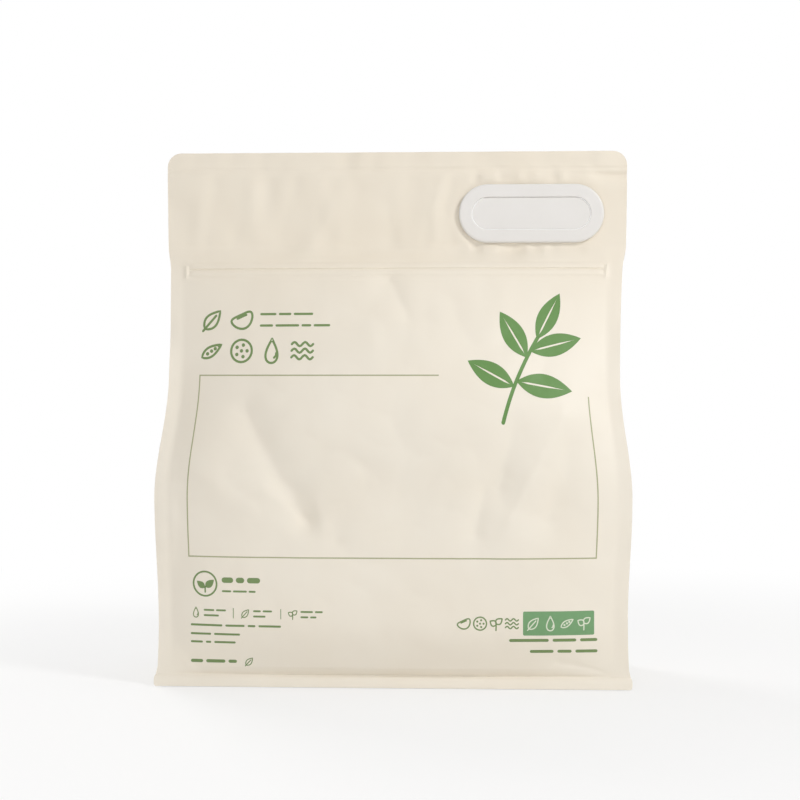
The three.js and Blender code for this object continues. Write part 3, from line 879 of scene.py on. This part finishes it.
def titleShapes():
    t = printed["title"]
    first, size, width, gap = t["x"], t["size"], t["stroke"], t["gap"]
    shapes = []
    for k, kind in enumerate(("leaf", "bean")):
        shapes += icon(kind, first + gap * k, t["upper"], size, width)
    for k, kind in enumerate(("pod", "grains", "drop", "waves")):
        shapes += icon(kind, first + gap * k, t["lower"], size, width)
    return shapes + words(-88.5, 234.6, 1.5, [11, 8.5, 13]) + words(-88.5, 227.2, 1.5, [9, 16, 6.5, 11])


def smallShapes():
    size, thin = printed["small"]["icon"], printed["small"]["stroke"]
    bx, bz = printed["small"]["badge"]
    shapes = [stroke(turned(circle(7.6, 40), bx, bz), 1.1, True)]
    shapes.append([turned(leafLoop(0.34), bx + 0.3, bz - 2.2, 40, 7.4)])
    shapes.append([turned(leafLoop(0.34), bx - 0.3, bz - 2.6, 140, 6.6)])
    shapes.append(stroke([(bx, bz - 5.2), (bx, bz - 1.8)], 1))
    shapes += words(-107.5, 67.5, 3.4, [7.5, 5.5, 8.5], 1.7) + words(-107.5, 60.6, 1.2, [6, 9, 4.5], 1.2)
    for x, kind in ((-125, "drop"), (-92.4, "leaf"), (-62, "sprout")):
        shapes += icon(kind, x, 47, size, thin)
    for x in (-100.3, -69.6):
        shapes.append(stroke([(x, 44), (x, 50)], 0.45))
    for x, rows in ((-119.8, ([7, 6.5], [10])), (-87.4, ([5, 6], [8])), (-57, ([8, 5], [5, 4]))):
        for z, lengths in zip((48.6, 45.3), rows):
            shapes += words(x, z, 1.15, lengths, 1.2)
    shapes += words(-128.5, 39.2, 1.3, [21, 12.5, 5, 14.5], 2)
    shapes += words(-128.5, 33.6, 1.3, [13.5, 17], 2)
    shapes += words(-128.5, 28.4, 1.3, [8, 3.5, 14], 2)
    shapes += words(-128.5, 16, 2.1, [8, 12.5, 5.5], 2) + icon("leaf", -90.5, 16, size, thin)
    for k, kind in enumerate(("bean", "grains", "sprout", "waves")):
        shapes += icon(kind, 46.5 + 10 * k, 42, 8.8, 0.85)
    shapes += words(130.5, 31.4, 1.9, [25, 15, 11], 2.4, True)
    shapes += words(130.5, 24.2, 1.9, [15, 9, 14], 2.4, True)
    return shapes


def surfaceMap(heights, grid):
    def onFront(x, z):  # from film millimetres to the finished front
        halfWidth = pouch["panelWidth"] / 2 - level(z, "drawIn")
        u = x * halfWidth / (pouch["panelWidth"] / 2) / (halfWidth - pouch["cornerSeal"])
        column = np.clip((u + 1) / 2 * across, 0, across - 1e-6)
        i = np.clip(np.searchsorted(heights, z, side="right") - 1, 0, len(heights) - 2)
        t = ((z - heights[i]) / (heights[i + 1] - heights[i]))[:, None]
        j = np.floor(column).astype(int)
        s = (column - j)[:, None]
        low = grid[i, j] * (1 - s) + grid[i, j + 1] * s
        high = grid[i + 1, j] * (1 - s) + grid[i + 1, j + 1] * s
        return low * (1 - t) + high * t

    return onFront


def makePrint(name, shapes, material, lift, heights, onFront):
    built = bmesh.new()
    for loops in shapes:
        spots = [[Vector((x, z, 0)) for x, z in loop] for loop in loops]
        flat = [built.verts.new((spot.x, 0, spot.y)) for loop in spots for spot in loop]
        for a, b, c in tessellate_polygon(spots):
            built.faces.new((flat[a], flat[b], flat[c]))
    points = np.array([v.co[:] for v in built.verts])
    low, high = points.min(0), points.max(0)
    columns = np.linspace(-1, 1, across + 1) * rootX
    cuts = [((x, 0, 0), (1, 0, 0)) for x in columns if low[0] < x < high[0]]
    cuts += [((0, 0, z), (0, 0, 1)) for z in heights if low[2] < z < high[2]]
    for point, normal in cuts:
        parts = built.verts[:] + built.edges[:] + built.faces[:]
        bmesh.ops.bisect_plane(built, geom=parts, dist=1e-5, plane_co=point, plane_no=normal)
    built.verts.ensure_lookup_table()
    points = np.array([v.co[:] for v in built.verts])
    for vertex, spot in zip(built.verts, onFront(points[:, 0], points[:, 2])):
        vertex.co = spot - np.array([0, lift, 0])
    raised = bmesh.ops.extrude_face_region(built, geom=built.faces[:])
    for part in raised["geom"]:
        if isinstance(part, bmesh.types.BMVert):
            part.co.y += printed["thickness"]
    bmesh.ops.recalc_face_normals(built, faces=built.faces)
    for vertex in built.verts:
        vertex.co *= mm
    return finished(built, bpy.data.meshes.new(name), material, 0.7)


studio = {
    "floorGlow": 0.55,
    "floorClear": (0.22, 0.75),  # metres from the object where the floor starts and ends its fade to white
    "floorSize": 8,
    "ambient": 0.385,
    "lamps": {  # place, size and power
        "key": ((0.95, -0.75, 1.0), 0.32, 8.2),
        "fill": ((-0.35, -1.7, 0.35), 1.3, 6.9),
        "top": ((0.1, 0.2, 1.5), 1.0, 3.2),
        "back": ((-0.9, 1.1, 0.9), 0.7, 9),
    },
    "lampAim": (0, 0, 0.17),
    "yaw": 3.0,
    "distance": 1180.6,
    "aim": (2.59, 0, 179.4),
    "cameraHeight": 194.3,
    "perPixel": 0.6533,
    "pixels": 800,
    "sensor": 36,
}


def makeFloor():
    floor = Finish("paleFloor", **{"Base Color": (0.9, 0.9, 0.9, 1), "Roughness": 0.7})
    spot = floor.add("ShaderNodeSeparateXYZ", {}, {0: floor.place()})
    x, y = floor.value(spot, 0), floor.value(spot, 1)
    away = floor.maths("POWER", x * x + y * y, 0.5)
    fade = floor.smoothStep(away, *studio["floorClear"], studio["floorGlow"], 1)
    seen = floor.value(floor.add("ShaderNodeLightPath"), "Is Camera Ray")
    glow = floor.add("ShaderNodeEmission", {}, {"Color": (1, 1, 1, 1), "Strength": 1})
    ends = {0: seen * fade, 1: floor.shader.outputs[0], 2: glow.outputs[0]}
    mix = floor.add("ShaderNodeMixShader", {}, ends)
    floor.tree.links.new(mix.outputs[0], floor.output.inputs[0])
    bpy.ops.mesh.primitive_plane_add(size=studio["floorSize"], location=(0, 0, -0.0004))
    plane = bpy.context.object
    plane.name = "floor"
    plane.data.materials.append(floor.material)


def makeWorld():  # white to the camera and in reflections, and a plain dim light on the object
    world = bpy.data.worlds.new("studio")
    world.use_nodes = True
    bpy.context.scene.world = world
    air = Nodes(world.node_tree)
    path = air.add("ShaderNodeLightPath")
    rays = ("Is Camera Ray", "Is Glossy Ray", "Is Transmission Ray")
    direct, glossy, through = (air.value(path, ray) for ray in rays)
    clear = air.maths("MAXIMUM", air.maths("MAXIMUM", direct, glossy), through)
    white = air.add("ShaderNodeBackground", {}, {0: (1, 1, 1, 1), 1: 1})
    ambient = air.add("ShaderNodeBackground", {}, {0: (1, 0.99, 0.97, 1), 1: studio["ambient"]})
    mix = air.add("ShaderNodeMixShader", {}, {0: clear, 1: ambient.outputs[0], 2: white.outputs[0]})
    air.add("ShaderNodeOutputWorld", {}, {0: mix.outputs[0]})


def makeLamp(name, place, size, power):
    lamp = bpy.data.lights.new(name, "AREA")
    lamp.size, lamp.energy = size, power
    made = bpy.data.objects.new(name, lamp)
    bpy.context.collection.objects.link(made)
    made.location = place
    made.rotation_euler = (Vector(studio["lampAim"]) - Vector(place)).to_track_quat("-Z", "Y").to_euler()


def makeCamera():
    s = studio
    yaw, distance = math.radians(s["yaw"]), s["distance"]
    aim = Vector(s["aim"]) * mm
    sideways, back = s["aim"][0] + distance * math.sin(yaw), -distance * math.cos(yaw)
    place = Vector((sideways, back, s["cameraHeight"])) * mm
    camera = bpy.data.cameras.new("camera")
    camera.sensor_width = s["sensor"]
    camera.lens = distance / s["perPixel"] * s["sensor"] / s["pixels"]
    made = bpy.data.objects.new("camera", camera)
    bpy.context.collection.objects.link(made)
    made.location = place
    made.rotation_euler = (aim - place).to_track_quat("-Z", "Y").to_euler()
    bpy.context.scene.camera = made


bpy.context.scene.view_settings.view_transform = "Standard"
makeWorld()
for name, lamp in studio["lamps"].items():
    makeLamp(name, *lamp)
makeCamera()
makeFloor()
print("studio ready")

filmMaterial, plasticMaterial = makeFilm(), makePlastic()
film, heights, grid = makePouch(filmMaterial)
cutHandleHole(film)
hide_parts("pouch")
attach(film, "pouch")
print("pouch", len(film.data.polygons))

frontRing, backRing = makeFrontRing(plasticMaterial), makeBackRing(plasticMaterial)
for piece, node in ((frontRing, "handle_front_ring"), (backRing, "handle_back_ring")):
    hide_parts(node)
    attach(piece, "pouch")
flap = makeFlap(plasticMaterial)
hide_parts("handle_flap")
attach(flap, "flap")
print("handle ready")

onFront = surfaceMap(heights, grid)
flatOn, over = printed["lift"], printed["overLift"]
prints = {  # shapes, ink, height over the film, node and slot
    "frame_line": (frameShapes(), "line", flatOn, "printed_frame_line", "fine_ink"),
    "sprig_mark": (markShapes(), "mark", flatOn, "printed_leaf_mark", "ink"),
    "label_field": (fieldShapes(), "field", flatOn, "printed_label_field", "ink"),
    "title_icons": (titleShapes(), "words", flatOn, None, "ink"),
    "small_marks": (smallShapes(), "words", flatOn, None, "ink"),
    "label_marks": (fieldMarks(), "pale", over, None, "ink"),
}
inks = {name: makeInk(name) for name in ("mark", "words", "line", "field", "pale")}
for name, (shapes, ink, lift, node, slotName) in prints.items():
    piece = makePrint(name, shapes, inks[ink], lift, heights, onFront)
    if node:
        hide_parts(node)
    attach(piece, "pouch")
print("print ready")
